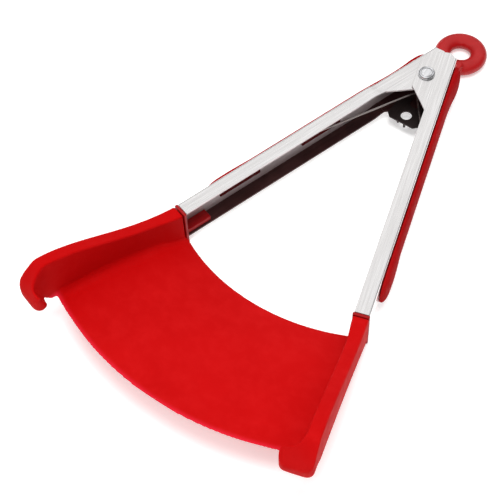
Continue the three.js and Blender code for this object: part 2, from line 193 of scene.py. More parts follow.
def cad_copy(node, bevel_width, segments=2):
    """The node's own shape with merged faces and a small round on every edge."""
    flat, sharp = math.radians(1), math.radians(30)
    bm = bmesh.new()
    bm.from_mesh(frame["nodes"][node].data)
    bmesh.ops.remove_doubles(bm, verts=bm.verts, dist=0.002 * MM)
    bmesh.ops.dissolve_limit(
        bm, angle_limit=flat, use_dissolve_boundaries=False, verts=bm.verts, edges=bm.edges)
    edges = [e for e in bm.edges if e.is_manifold and e.calc_face_angle(0) > sharp]
    bmesh.ops.bevel(
        bm, geom=edges, offset=bevel_width, offset_type="OFFSET", affect="EDGES", segments=segments,
        profile=0.5, material=-1, clamp_overlap=True)
    return bm


def even_shading(piece):
    """Keeps the wide faces flat in tone up to their rounded edges."""
    weigh = piece.modifiers.new("even_shading", "WEIGHTED_NORMAL")
    weigh.keep_sharp = True
    weigh.weight = 80
    return piece


# ---------- material helpers ----------


def new_group(name, inputs, outputs):
    """A shader node group with named number or colour sockets."""
    group = bpy.data.node_groups.new(name, "ShaderNodeTree")
    for label, kind, value in inputs:
        socket = group.interface.new_socket(name=label, in_out="INPUT", socket_type=kind)
        if value is not None:
            socket.default_value = value
    for label, kind in outputs:
        group.interface.new_socket(name=label, in_out="OUTPUT", socket_type=kind)
    return group, group.nodes.new("NodeGroupInput"), group.nodes.new("NodeGroupOutput")


def link(tree, source, target):
    tree.links.new(source, target)


def noise_node(tree, vector, scale, detail=3.0, roughness=0.5):
    node = tree.nodes.new("ShaderNodeTexNoise")
    node.inputs["Scale"].default_value = scale
    node.inputs["Detail"].default_value = detail
    node.inputs["Roughness"].default_value = roughness
    link(tree, vector, node.inputs["Vector"])
    return node.outputs["Fac"]


def remap(tree, value, low, high, to_low, to_high):
    node = tree.nodes.new("ShaderNodeMapRange")
    for label, number in (("From Min", low), ("From Max", high), ("To Min", to_low), ("To Max", to_high)):
        node.inputs[label].default_value = number
    link(tree, value, node.inputs["Value"])
    return node.outputs["Result"]


def mix_colour(tree, factor, first, second):
    """Mixes two colours, each an output socket or three numbers."""
    node = tree.nodes.new("ShaderNodeMix")
    node.data_type = "RGBA"
    link(tree, factor, node.inputs["Factor"])
    for socket, value in ((node.inputs[6], first), (node.inputs[7], second)):
        if isinstance(value, tuple):
            socket.default_value = (*value, 1.0)
        else:
            link(tree, value, socket)
    return node.outputs[2]


def maths(tree, operation, first, second):
    node = tree.nodes.new("ShaderNodeMath")
    node.operation = operation
    for socket, value in ((node.inputs[0], first), (node.inputs[1], second)):
        if isinstance(value, (int, float)):
            socket.default_value = value
        else:
            link(tree, value, socket)
    return node.outputs[0]


def make_brushing():
    """Fine lines along one direction, from object coordinates turned by an angle about Z."""
    group, given, result = new_group(
        "brushed_lines",
        [("Vector", "NodeSocketVector", None), ("Fineness", "NodeSocketFloat", 1.0)],
        [("Lines", "NodeSocketFloat"), ("Patches", "NodeSocketFloat")])
    scale = group.nodes.new("ShaderNodeVectorMath")
    scale.operation = "MULTIPLY"
    scale.inputs[1].default_value = (1.0, 0.018, 1.0)
    link(group, given.outputs["Vector"], scale.inputs[0])
    finer = group.nodes.new("ShaderNodeVectorMath")
    finer.operation = "SCALE"
    link(group, scale.outputs[0], finer.inputs[0])
    link(group, given.outputs["Fineness"], finer.inputs["Scale"])
    fine = noise_node(group, finer.outputs[0], 2600, 2.0, 0.6)
    coarse = noise_node(group, finer.outputs[0], 700, 2.0, 0.5)
    both = maths(group, "ADD", maths(group, "MULTIPLY", fine, 0.6), maths(group, "MULTIPLY", coarse, 0.4))
    link(group, both, result.inputs["Lines"])
    patches = noise_node(group, given.outputs["Vector"], 45, 3.0, 0.55)
    link(group, patches, result.inputs["Patches"])
    return group


def make_moulded():
    """What moulded rubber shows: a faint grain, slow tone changes and handling marks."""
    group, given, result = new_group(
        "moulded_rubber",
        [("Vector", "NodeSocketVector", None), ("Grain", "NodeSocketFloat", 2400.0)],
        [("Tone", "NodeSocketFloat"), ("Grain", "NodeSocketFloat"), ("Marks", "NodeSocketFloat")])
    grain = group.nodes.new("ShaderNodeTexNoise")
    grain.inputs["Detail"].default_value = 2.0
    link(group, given.outputs["Vector"], grain.inputs["Vector"])
    link(group, given.outputs["Grain"], grain.inputs["Scale"])
    link(group, grain.outputs["Fac"], result.inputs["Grain"])
    link(group, noise_node(group, given.outputs["Vector"], 28, 3.0, 0.5), result.inputs["Tone"])
    smears = noise_node(group, given.outputs["Vector"], 130, 4.0, 0.65)
    link(group, remap(group, smears, 0.42, 0.68, 0.0, 1.0), result.inputs["Marks"])
    return group


def place_group(tree, group, **values):
    node = tree.nodes.new("ShaderNodeGroup")
    node.node_tree = group
    for label, value in values.items():
        if isinstance(value, (int, float)):
            node.inputs[label].default_value = value
        else:
            link(tree, value, node.inputs[label])
    return node


def start_material(name):
    """A new material's tree, its shader and its object coordinates."""
    material = bpy.data.materials.new(name)
    material.use_nodes = True
    tree = material.node_tree
    shader = tree.nodes["Principled BSDF"]
    coordinates = tree.nodes.new("ShaderNodeTexCoord")
    return material, tree, shader, coordinates.outputs["Object"]


def split(tree, vector):
    """The three parts of a vector, by name."""
    node = tree.nodes.new("ShaderNodeSeparateXYZ")
    link(tree, vector, node.inputs[0])
    return node.outputs


def from_point(tree, vector, centre, turn=0.0):
    """Object coordinates moved to a point and turned about Z."""
    mapping = tree.nodes.new("ShaderNodeMapping")
    mapping.vector_type = "TEXTURE"
    mapping.inputs["Location"].default_value = centre
    mapping.inputs["Rotation"].default_value = (0, 0, turn)
    link(tree, vector, mapping.inputs["Vector"])
    return mapping.outputs["Vector"]


def add_bump(tree, shader, height, distance, strength):
    bump = tree.nodes.new("ShaderNodeBump")
    bump.inputs["Distance"].default_value = distance
    bump.inputs["Strength"].default_value = strength
    link(tree, height, bump.inputs["Height"])
    link(tree, bump.outputs["Normal"], shader.inputs["Normal"])


def polished_steel(name, turn, light=(0.90, 0.885, 0.88), dark=(0.74, 0.72, 0.715), rough=(0.16, 0.34)):
    """Polished stainless sheet with fine lines along the piece and a few duller patches."""
    material, tree, shader, position = start_material(name)
    local = from_point(tree, position, PIVOT, turn)
    lines = place_group(tree, BRUSHING, Vector=local, Fineness=1.0)
    shade = remap(tree, lines.outputs["Lines"], 0.35, 0.65, 0.0, 1.0)
    link(tree, mix_colour(tree, shade, dark, light), shader.inputs["Base Color"])
    blend = maths(tree, "ADD", maths(tree, "MULTIPLY", shade, 0.4),
                  maths(tree, "MULTIPLY", lines.outputs["Patches"], 0.6))
    link(tree, remap(tree, blend, 0.2, 0.8, rough[1], rough[0]), shader.inputs["Roughness"])
    shader.inputs["Metallic"].default_value = 1.0
    add_bump(tree, shader, lines.outputs["Lines"], 0.02 * MM, 0.35)
    return material


def mill_finish(name, turn, dark, light, rough):
    """The unpolished inside of a channel, with the same lines as the outside but dull, in the colours it is
    given, which paint the light and shade inside the channel.
    """
    material, tree, shader, position = start_material(name)
    local = from_point(tree, position, PIVOT, turn)
    lines = place_group(tree, BRUSHING, Vector=local, Fineness=0.7)
    shade = maths(tree, "ADD", maths(tree, "MULTIPLY", lines.outputs["Lines"], 0.5),
                  maths(tree, "MULTIPLY", lines.outputs["Patches"], 0.5))
    tone = remap(tree, shade, 0.3, 0.7, 0.0, 1.0)
    link(tree, mix_colour(tree, tone, dark, light), shader.inputs["Base Color"])
    shader.inputs["Metallic"].default_value = 0.6
    dullness = remap(tree, lines.outputs["Patches"], 0.3, 0.7, rough[0], rough[1])
    link(tree, dullness, shader.inputs["Roughness"])
    add_bump(tree, shader, lines.outputs["Lines"], 0.03 * MM, 0.4)
    return material


def dark_spring_steel():
    """The lock slide's sheet, painted near black for the shade that it lies in, with brighter rubbed patches.
    """
    material, tree, shader, position = start_material("painted_shade_sheet")
    local = from_point(tree, position, PIVOT)
    lines = place_group(tree, BRUSHING, Vector=local, Fineness=0.8)
    rubbed = remap(tree, lines.outputs["Patches"], 0.58, 0.75, 0.0, 0.5)
    # Painted shade: the sheet's colour is kept near black.
    base = mix_colour(tree, lines.outputs["Lines"], (0.016, 0.010, 0.010), (0.050, 0.036, 0.035))
    link(tree, mix_colour(tree, rubbed, base, (0.16, 0.13, 0.125)), shader.inputs["Base Color"])
    shader.inputs["Metallic"].default_value = 0.6
    link(tree, remap(tree, lines.outputs["Patches"], 0.3, 0.7, 0.48, 0.34), shader.inputs["Roughness"])
    add_bump(tree, shader, lines.outputs["Lines"], 0.03 * MM, 0.4)
    return material


def soft_red(name, deep, bright, rough, specular, scatter=0.0, bump=0.25):
    """Moulded red rubber or nylon, a little uneven in tone, with fine grain and faint handling marks."""
    material, tree, shader, position = start_material(name)
    rubber = place_group(tree, MOULDED, Vector=position, Grain=2400.0)
    tone = remap(tree, rubber.outputs["Tone"], 0.3, 0.7, 0.0, 1.0)
    colour = mix_colour(tree, tone, deep, bright)
    marks = maths(tree, "MULTIPLY", rubber.outputs["Marks"], 0.35)
    paler = tuple(c * 1.12 + 0.002 for c in bright)
    link(tree, mix_colour(tree, marks, colour, paler), shader.inputs["Base Color"])
    link(tree, remap(tree, rubber.outputs["Marks"], 0.0, 1.0, rough[1], rough[0]), shader.inputs["Roughness"])
    shader.inputs["Specular IOR Level"].default_value = specular
    if scatter:
        shader.inputs["Subsurface Weight"].default_value = scatter
        shader.inputs["Subsurface Radius"].default_value = (1.0, 0.12, 0.10)
        shader.inputs["Subsurface Scale"].default_value = 1.2 * MM
    add_bump(tree, shader, rubber.outputs["Grain"], 0.03 * MM, bump)
    return material, tree, shader, position


def jaw_silicone():
    """The jaws' silicone, with painted shade deepening the red by the left wall and a painted glow of light
    through the blade's thin front edge.
    """
    material, tree, shader, position = soft_red(
        "jaw_silicone", (0.49, 0.0014, 0.0018), (0.53, 0.0022, 0.0028), rough=(0.66, 0.78), specular=0.10,
        scatter=0.08)
    radius, ahead = BLADE_FRONT
    flat = tree.nodes.new("ShaderNodeVectorMath")
    flat.operation = "MULTIPLY"
    flat.inputs[1].default_value = (1, 1, 0)
    link(tree, from_point(tree, position, PIVOT - Vector((0, ahead, 0))), flat.inputs[0])
    length = tree.nodes.new("ShaderNodeVectorMath")
    length.operation = "LENGTH"
    link(tree, flat.outputs[0], length.inputs[0])
    # Painted glow: low down, the blade's thin front edge is mixed towards a pale warm red, as light through
    # the silicone would show.
    edge = remap(tree, length.outputs["Value"], radius - 3.6 * MM, radius - 0.3 * MM, 0.0, 1.0)
    low = remap(tree, split(tree, position)["Z"], 24 * MM, 27.5 * MM, 1.0, 0.0)
    painted_edge_glow = maths(tree, "MULTIPLY", maths(tree, "POWER", edge, 2.0), low)
    # Painted shade: the red deepens towards the left wall, darker the nearer it is.
    by_arm = split(tree, from_point(tree, position, PIVOT, -OPEN_ANGLE))
    painted_wall_shade = remap(tree, by_arm["X"], -8 * MM, 18 * MM, 0.7, 0.0)
    before = shader.inputs["Base Color"].links[0].from_socket
    with_painted_shade = mix_colour(tree, painted_wall_shade, before, (0.50, 0.0006, 0.0010))
    link(tree, mix_colour(tree, painted_edge_glow, with_painted_shade, (0.74, 0.018, 0.040)), shader.inputs["Base Color"])
    return material


BRUSHING = make_brushing()
MOULDED = make_moulded()
RIGHT_STEEL = polished_steel("polished_steel_right", OPEN_ANGLE)
LEFT_STEEL = polished_steel("polished_steel_left", -OPEN_ANGLE)
RIVET_STEEL = polished_steel(
    "burnished_rivet", 0.0, light=(0.93, 0.93, 0.95), dark=(0.70, 0.70, 0.72), rough=(0.10, 0.20))
WIRE_STEEL = polished_steel(
    "spring_wire", 0.0, light=(0.52, 0.46, 0.44), dark=(0.34, 0.30, 0.29), rough=(0.22, 0.36))
SLIDE_STEEL = dark_spring_steel()
SILICONE = jaw_silicone()
GRIP_RED = soft_red(
    "grip_rubber", (0.30, 0.0030, 0.0038), (0.36, 0.0044, 0.0052), rough=(0.74, 0.86), specular=0.05)[0]
# The anchors sit inside the channel: a much darker copy of the grip red, painted shade.
SHADED_ANCHOR_RED = soft_red(
    "grip_anchor_painted_shade", (0.050, 0.0012, 0.0016), (0.072, 0.0020, 0.0026), rough=(0.6, 0.72), specular=0.06)[0]
RING_RED = soft_red(
    "ring_rubber", (0.36, 0.0050, 0.0060), (0.45, 0.0075, 0.0085), rough=(0.30, 0.42), specular=0.35)[0]
NYLON_RED = soft_red(
    "core_nylon", (0.26, 0.0030, 0.0040), (0.34, 0.0050, 0.0060), rough=(0.36, 0.48), specular=0.22,
    bump=0.15)[0]


# ---------- arms ----------


def channel_side(face, side):
    """0 outside; 1, the near black painted shade, for a flange's inside or the lower free edge; 2, the
    lighter painted light copy, for the web's or the upper one.
    """
    into_arm = to_world(side).inverted()
    place = into_arm @ face.calc_center_median()
    normal = into_arm.to_3x3() @ face.normal
    if place.x < BACK_OUT - SHEET and normal.z * place.z < 0 and abs(normal.z) > 0.6:
        return 1
    if place.x > BACK_OUT - 2 * SHEET and normal.x < -0.6:
        return 2
    if normal.x < -0.6:
        return 1 if place.z < 0 else 2
    return 0


def make_arm(name, side):
    bm = cad_copy(name, 0.14 * MM)
    bm.normal_update()
    for face in bm.faces:
        face.material_index = channel_side(face, side)
    turn = side * OPEN_ANGLE
    # The channel's insides are two copies of one finish: a near black one, painted shade, and a lighter grey
    # one, painted light.
    steel = [
        RIGHT_STEEL if side > 0 else LEFT_STEEL,
        mill_finish(name + "_inside_painted_shade", turn, (0.030, 0.010, 0.010), (0.095, 0.036, 0.034), (0.34, 0.5)),
        mill_finish(name + "_inside_painted_light", turn, (0.56, 0.49, 0.49), (0.76, 0.69, 0.69), (0.28, 0.42)),
    ]
    return even_shading(finish_piece(name + "_channel", bm, steel, name, [name], 32))


# ---------- pivot ----------


def make_rivet():
    """A headed rivet: flat centred domes with a rolled rim, spun about the pivot."""
    low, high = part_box("pivot_rivet")
    head = (high.x - low.x) / 2
    shank = 3.5 * MM
    face = CHANNEL_HALF + SEAT_GAP
    top = high.z - PIVOT.z
    bottom = low.z - PIVOT.z
    upper = bezier((head, face + 0.3 * MM), (head, face + 1.1 * MM), (head * 0.84, top - 0.60 * MM), 6)
    crown = bezier((head * 0.74, top - 1.0 * MM), (head * 0.68, top), (0, top), 8)
    lower = bezier((0, bottom), (head * 0.8, bottom), (head, -face - 0.3 * MM), 8)
    profile = [*lower, (head, -face), (shank, -face), (shank, face), (head, face), *upper, *crown]
    bm = bmesh.new()
    verts = [bm.verts.new(PIVOT + Vector((r, 0, z))) for r, z in profile]
    edges = [bm.edges.new(pair) for pair in zip(verts, verts[1:])]
    bmesh.ops.spin(
        bm, geom=[*verts, *edges], cent=PIVOT, axis=(0, 0, 1), angle=math.tau, steps=72, use_merge=True)
    bmesh.ops.remove_doubles(bm, verts=bm.verts, dist=MERGE_GAP)
    return finish_piece("rivet", bm, RIVET_STEEL, "pivot", ["pivot_rivet"], 30)


def make_spring_half(name, side):
    """Half of the coil, wound from its middle, and the straight leg that it ends in."""
    wire = 0.55 * MM
    coil = 5.1 * MM
    level = 4.5 * MM
    whole_turns = 5
    high_leg, low_leg = math.radians(28.4), math.radians(38.4)
    leg_angle = high_leg if side > 0 else low_leg
    tilt = leg_angle - OPEN_ANGLE
    reach = BACK_OUT - SHEET - SEAT_GAP - wire
    leg_length = (reach + coil * math.cos(tilt)) / math.sin(tilt)
    wound = (math.tau * whole_turns + math.pi + high_leg + low_leg) / 2
    end_angle = -high_leg if side > 0 else math.pi + low_leg
    steps = 90
    bm = bmesh.new()
    made = bmesh.ops.create_circle(bm, segments=14, radius=wire)["verts"]
    stand = Matrix.Translation(PIVOT) @ Matrix.Rotation(end_angle + side * wound, 4, "Z")
    stand = stand @ Matrix.Translation((coil, 0, 0)) @ Matrix.Rotation(math.pi / 2, 4, "X")
    bmesh.ops.transform(bm, matrix=stand, verts=made)
    edges = list({e for v in made for e in v.link_edges})
    first = list(edges)
    spun = bmesh.ops.spin(
        bm, geom=[*made, *edges], cent=PIVOT, axis=(0, 0, 1), angle=-side * wound, steps=steps,
        dvec=(0, 0, side * level / steps))["geom_last"]
    direction = Vector((-side * math.sin(leg_angle), -math.cos(leg_angle), 0))
    rim = [g for g in spun if isinstance(g, bmesh.types.BMEdge)]
    for share in (0.02, 0.48, 0.49, 0.006, 0.004):
        grown = bmesh.ops.extrude_edge_only(bm, edges=rim)["geom"]
        verts = {g for g in grown if isinstance(g, bmesh.types.BMVert)}
        rim = [g for g in grown if isinstance(g, bmesh.types.BMEdge) and set(g.verts) <= verts]
        bmesh.ops.translate(bm, vec=direction * leg_length * share, verts=list(verts))
        if share < 0.01:
            centre = sum((v.co for v in verts), Vector()) / len(verts)
            bmesh.ops.scale(bm, vec=(0.75,) * 3, space=Matrix.Translation(-centre), verts=list(verts))
    bmesh.ops.contextual_create(bm, geom=first)
    bmesh.ops.contextual_create(bm, geom=rim)
    piece = finish_piece(name, bm, WIRE_STEEL, None, ["torsion_spring"], 50)
    if side > 0:
        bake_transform(piece)
    else:
        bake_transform(piece)
    return piece


# ---------- lock ----------


def make_slide():
    bm = cad_copy("lock_slide", 0.12 * MM)
    return even_shading(finish_piece(
        "lock_plate", bm, SLIDE_STEEL, "lock", ["lock_slide"], 32))


def make_ring():
    """The soft ring and the boss that grips the slide's stem, grown into one."""
    low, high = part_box("pull_ring")
    out, up = 5.1 * MM, 4.3 * MM
    radius = (high.x - low.x) / 2 - out
    centre = Vector((PIVOT.x, high.y - radius - out, low.z + up))
    bm = bmesh.new()
    section = bmesh.ops.create_circle(bm, segments=28, radius=1)["verts"]
    stand = Matrix.Translation(centre + Vector((radius, 0, 0))) @ Matrix.Rotation(math.pi / 2, 4, "X")
    bmesh.ops.transform(bm, matrix=stand @ Matrix.Diagonal((out, up, 1, 1)), verts=section)
    edges = list({e for v in section for e in v.link_edges})
    bmesh.ops.spin(
        bm, geom=[*section, *edges], cent=centre, axis=(0, 0, 1), angle=math.tau, steps=96, use_merge=True)
    bmesh.ops.remove_doubles(bm, verts=bm.verts, dist=MERGE_GAP)
    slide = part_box("lock_slide")
    boss_width, boss_height, boss_corner = 16.0 * MM, 5.2 * MM, 1.6 * MM
    front, rear = low.y + 0.3 * MM, centre.y - radius + 1 * MM
    middle = Vector((PIVOT.x, (front + rear) / 2, slide[1].z - SHEET / 2))
    sizes = Matrix.Diagonal((boss_width, rear - front, boss_height, 1))
    rounded_block(bm, Matrix.Translation(middle) @ sizes, boss_corner, 4)
    nub_turn, nub_radius = math.radians(-8), 1.2 * MM
    nub = centre + (radius + out - nub_radius) * Vector((math.cos(nub_turn), math.sin(nub_turn), 0))
    bmesh.ops.create_icosphere(bm, subdivisions=3, radius=nub_radius, matrix=Matrix.Translation(nub))
    piece = finish_piece("hanging_ring", bm, RING_RED, "lock", ["pull_ring"], 180)
    fuse(piece, voxel=0.45 * MM, passes=6)
    return piece


def fuse(piece, voxel, passes):
    """Grows a piece's overlapping forms into one skin and eases the joins."""
    remesh = piece.modifiers.new("one_skin", "REMESH")
    remesh.mode = "VOXEL"
    remesh.voxel_size = voxel
    remesh.use_smooth_shade = True
    easing = piece.modifiers.new("eased", "SMOOTH")
    easing.factor = 0.5
    easing.iterations = passes


# ---------- grips ----------


def outline_depth(outline, along):
    """How deep a pad is at one place along it, from its outline's (along, depth) points."""
    for (a0, d0), (a1, d1) in zip(outline, outline[1:]):
        if a0 <= along <= a1:
            return d0 + (d1 - d0) * (along - a0) / max(a1 - a0, 1e-9)
    return outline[-1][1]


def make_grip(name, side):
    """A soft crowned pad with a bulged heel and toe, and two anchors that reach through the web."""
    inner = BACK_OUT + SEAT_GAP
    depth = 2.8 * MM
    heel = depth + 1.6 * MM
    toe = depth + 0.9 * MM
    start, end = -16.5 * MM, 152 * MM
    half = 8.5 * MM
    rounding = 13 * MM
    lip = 0.25 * MM
    slices, facets = 90, 16
    outline = [
        *bezier((start, 0.4 * MM), (start + 0.5 * MM, heel - 0.2 * MM), (start + 8 * MM, heel), 12),
        *bezier((start + 14 * MM, heel - 0.2 * MM), (start + 22 * MM, depth), (start + 34 * MM, depth), 8),
        *bezier((end - 34 * MM, depth), (end - 24 * MM, toe), (end - 16 * MM, toe), 8),
        *bezier((end - 8 * MM, toe - 0.2 * MM), (end - 0.4 * MM, depth), (end, 0.4 * MM), 12),
    ]
    sections = []
    for step in range(slices + 1):
        along = start + (end - start) * (1 - math.cos(math.pi * step / slices)) / 2
        near = min(along - start, end - along)
        tall = half * (0.30 + 0.70 * max(0.0, 1 - max(0.0, 1 - near / rounding) ** 2.2) ** 0.5)
        if side < 0:
            tall -= 1.6 * MM * (1 - ease((along - 10 * MM) / (30 * MM)))
        deep = outline_depth(outline, along)
        section = [Vector((inner, -along, tall - 2 * lip)), Vector((inner, -along, -tall + 2 * lip))]
        for i in range(facets + 1):
            swing = -math.pi / 2 + math.pi * i / facets
            around, upright = (0.7, 0.85) if swing > 0 else (0.32, 0.5)
            out = inner + lip + (deep - lip) * abs(math.cos(swing)) ** around
            level = tall * abs(math.sin(swing)) ** upright * (1 if swing > 0 else -1)
            section.append(Vector((out, -along, level)))
        sections.append(section)
    bm = loft(sections)
    pad_faces = len(bm.faces)
    pad_face = BACK_OUT - SHEET - SEAT_GAP
    neck = (26 * MM, 4.4 * MM, pad_face - 0.5 * MM, inner + 0.5 * MM, 0.3 * MM)
    foot = (28.8 * MM, 5.8 * MM, pad_face - 1.5 * MM, pad_face, 0.6 * MM)
    for place in ANCHOR_PLACES:
        for length, height, low, high, corner in (neck, foot):
            at = Matrix.Translation(((low + high) / 2, -place, 0))
            rounded_block(bm, at @ Matrix.Diagonal((high - low, length, height, 1)), corner, 3)
    bm.faces.ensure_lookup_table()
    # The anchors take the darker red, painted shade inside the channel.
    for face in bm.faces[pad_faces:]:
        face.material_index = 1
    bmesh.ops.transform(bm, matrix=to_world(side), verts=bm.verts)
    body = "left_arm" if side < 0 else "right_arm"
    return finish_piece(name + "_pad", bm, [GRIP_RED, SHADED_ANCHOR_RED], body, [name], 60)


# ---------- jaws ----------


def blade_top(radius):
    sine = math.sin(BLADE_SLOPE) - (radius - ARM_LENGTH) / BLADE_CURVE
    return -BLADE_RISE + BLADE_CURVE * (math.sqrt(1 - sine * sine) - math.cos(BLADE_SLOPE))


def sweep_level(radius):
    """The right jaw's underside, clear of the blade that it sweeps over."""
    share = max(0.0, (radius - JAW_START) / (WALL_PEAK - JAW_START))
    return blade_top(radius) + (1.0 + 5.0 * share) * MM


def ease(value):
    value = min(1.0, max(0.0, value))
    return value * value * (3 - 2 * value)


def top_level(along):
    """Height of a jaw's top: a long S rising to the peak, then a chamfer falling to the hook's front."""
    half = CHANNEL_HALF
    rise = WALL_PEAK - JAW_START
    xs = (JAW_START, JAW_START + 0.4 * rise, JAW_START + 0.69 * rise, WALL_PEAK)
    zs = (half, half + 3.4 * MM, PEAK_HEIGHT - 2.2 * MM, PEAK_HEIGHT)

    def cubic(values, t):
        return ((1 - t) ** 3 * values[0] + 3 * t * (1 - t) ** 2 * values[1]
                + 3 * t * t * (1 - t) * values[2] + t ** 3 * values[3])

    if along <= WALL_PEAK:
        low, high = 0.0, 1.0
        for _ in range(30):
            middle = (low + high) / 2
            if cubic(xs, middle) < along:
                low = middle
            else:
                high = middle
        return cubic(zs, low)
    start, corner, end = (259.5, 37.7), (269.6, 31.0), (271, 24.8)
    if along < start[0] * MM:
        t = (along - WALL_PEAK) / (start[0] * MM - WALL_PEAK)
        return PEAK_HEIGHT + (start[1] * MM - PEAK_HEIGHT) * t * t
    chamfer = bezier(start, corner, end, 24)
    for before, after in zip(chamfer, chamfer[1:]):
        if along <= after[0] * MM:
            t = (along / MM - before[0]) / (after[0] - before[0])
            return (before[1] + (after[1] - before[1]) * t) * MM
    return end[1] * MM


def under_level(along, level, foot):
    """Height of a jaw's underside: foot, blade line, then up to the hook's own underside."""
    hook_foot = TIP_END - HOOK_THICKNESS
    base = level(along)
    if foot:
        base = FOOT_LEVEL + (base - FOOT_LEVEL) * ease((along - FOOT_END) / (3 * MM))
    lift = ease((along - (hook_foot - 6 * MM)) / (7.5 * MM))
    return base + (HOOK_UNDER - base) * lift


def jaw_stations():
    """(outer point, inner point) pairs, as (along, out), from the block's rear round the hook to its end."""
    inner = BACK_OUT - WALL_THICKNESS
    block_inner = BACK_OUT - FLANGE_WIDTH
    stations = []
    count = 44
    bend_start = TIP_END - HOOK_THICKNESS - 7.5 * MM
    for i in range(count + 1):
        along = JAW_START + (bend_start - JAW_START) * i / count
        narrowing = ease((along - JAW_START) / (NECK_END - JAW_START))
        stations.append(((along, BACK_OUT), (along, block_inner + (inner - block_inner) * narrowing)))
    hook_inner = TIP_END - HOOK_THICKNESS
    corner_start = TIP_END - 4.2 * MM
    outer_curve = [(bend_start + (corner_start - bend_start) * i / 5, BACK_OUT) for i in range(5)]
    outer_curve += bezier((corner_start, BACK_OUT), (TIP_END, BACK_OUT), (TIP_END, BACK_OUT - 4.6 * MM), 7)
    outer_curve += [(TIP_END, 5.6 * MM), (TIP_END, 3.4 * MM)]
    inner_curve = bezier((bend_start, inner), (hook_inner - 0.4 * MM, inner), (hook_inner, -0.6 * MM), 14)
    stations += list(zip(outer_curve[1:], inner_curve[1:]))
    for outer_out, inner_out in ((1.4, -1.1), (-0.4, -1.6)):
        stations.append(((TIP_END, outer_out * MM), (hook_inner, inner_out * MM)))
    middle = (TIP_END + hook_inner) / 2
    for turn in (25, 45, 62, 76, 86):
        swing = math.radians(turn)
        half = HOOK_THICKNESS / 2 * math.cos(swing) ** 0.8
        out = -0.4 * MM - (HOOK_REACH - 0.4 * MM) * math.sin(swing)
        inner_drop = -1.6 * MM - (HOOK_REACH - 1.6 * MM) * math.sin(swing)
        stations.append(((middle + half, out), (middle - half, inner_drop)))
    return stations


def lip_place(outer_along, along, thinning):
    """Where the hook's thick foot has thinned to its lip: the inner top edge's place and height."""
    thinned = outer_along - HOOK_LIP
    run = 5 * MM
    share = ease((along - (TIP_END - HOOK_THICKNESS - run)) / run)
    moved = along + max(0.0, thinned - along) * share * thinning
    return moved, top_level(moved)


def jaw_wall(level, foot, thinning):
    """The raised wall of a jaw and its hook, in straight arm directions."""
    sections = []
    stations = jaw_stations()
    last = len(stations) - 1
    for i, (outer, inner) in enumerate(stations):
        corners = []
        for (along, out), is_top in ((outer, True), (inner, True), (inner, False), (outer, False)):
            height = top_level(along) if is_top else under_level(along, level, foot)
            if is_top and (along, out) == inner:
                along, height = lip_place(outer[0], along, thinning)
            corners.append(Vector((out, -along, height)))
        across = (corners[0] - corners[1]).length
        tall = corners[0].z - corners[3].z
        room = 0.46 * min(across, tall)
        tip = ease((i - (last - 8)) / 8)
        rims = (1.3 + 1.2 * tip, 0.7 + 1.2 * tip, 1.2 + 2.2 * tip, 1.6 + 2.0 * tip)
        sections.append(rounded_section(corners, [min(r * MM, room) for r in rims]))
    first = sections[0]
    centre = sum(first, Vector()) / len(first)
    eased = [centre + (p - centre) * 0.93 for p in first]
    front = [p + Vector((0, -0.5 * MM, 0)) for p in first]
    sections = [eased, front, *sections[1:]]
    return loft(sections)


def arc_across(arc, share, left, right):
    """A point on one of the blade's end arcs, between its angles at the left and right ends."""
    radius, ahead = arc
    angle = left + (right - left) * share
    return Vector((radius * math.sin(angle), -ahead - radius * math.cos(angle)))


def arc_end(arc, side, out):
    """The arc's angle where it meets a line at a fixed distance out on one arm."""
    radius, ahead = arc
    low, high = 0.0, math.radians(45)
    for _ in range(40):
        middle = (low + high) / 2
        point = Vector((side * radius * math.sin(middle), -ahead - radius * math.cos(middle)))
        reach = side * point.x * math.cos(OPEN_ANGLE) + point.y * math.sin(OPEN_ANGLE)
        if reach < out:
            low = middle
        else:
            high = middle
    return side * (low + high) / 2


def blade_skin():
    """The fan as a closed skin, in the left arm's straight directions, rolling up into the left wall."""
    wall_inner = BACK_OUT - WALL_THICKNESS
    rim_share = 0.008
    to_left = to_world(-1).inverted()
    left_out, right_out = BACK_OUT - 3.4 * MM, 8.9 * MM
    ends = [(arc_end(arc, -1, left_out), arc_end(arc, 1, right_out)) for arc in (BLADE_REAR, BLADE_FRONT)]
    columns = [0.0, 0.006, 0.012, 0.018, *[0.024 + 0.006 * i for i in range(16)]]
    columns += [0.12 + 0.88 * i / 46 for i in range(1, 47)]
    rows = [0.0, 0.006, 0.016, *[0.04 + 0.92 * i / 30 for i in range(31)], 0.98, 0.992, 1.0]

    def rolled(point):
        """Height that the fillet beside the wall adds."""
        local = to_left @ (PIVOT + Vector((point.x, point.y, 0)))
        gap = max(0.0, wall_inner - local.x)
        if gap >= FILLET:
            return 0.0
        return FILLET - math.sqrt(FILLET ** 2 - (FILLET - gap) ** 2)

    sections = []
    for share in columns:
        rear = arc_across(BLADE_REAR, share, *ends[0])
        front = arc_across(BLADE_FRONT, share, *ends[1])
        upper, lower = [], []
        for row in rows:
            spot = rear.lerp(front, row)
            top = blade_top(spot.length)
            thin = BLADE_THICKNESS + (BLADE_EDGE - BLADE_THICKNESS) * ease((row - 0.55) / 0.45)
            for depth in (row * (front - rear).length, (1 - row) * (front - rear).length):
                if depth < thin / 2:
                    thin *= max(0.25, math.sqrt(max(0.0, 1 - (1 - 2 * depth / thin) ** 2)))
            middle = top - BLADE_THICKNESS / 2
            if 1 - share < rim_share:
                thin *= 0.35 + 0.65 * (1 - share) / rim_share
            base = PIVOT + Vector((spot.x, spot.y, 0))
            upper.append(to_left @ (base + Vector((0, 0, middle + thin / 2 + rolled(spot)))))
            lower.append(to_left @ (base + Vector((0, 0, middle - thin / 2))))
        sections.append([*upper, *reversed(lower)])
    return loft(sections)


def join_into(bm, other):
    """Adds another bmesh's faces."""
    mesh = bpy.data.meshes.new("joined")
    other.to_mesh(mesh)
    other.free()
    bm.from_mesh(mesh)
    bpy.data.meshes.remove(mesh)


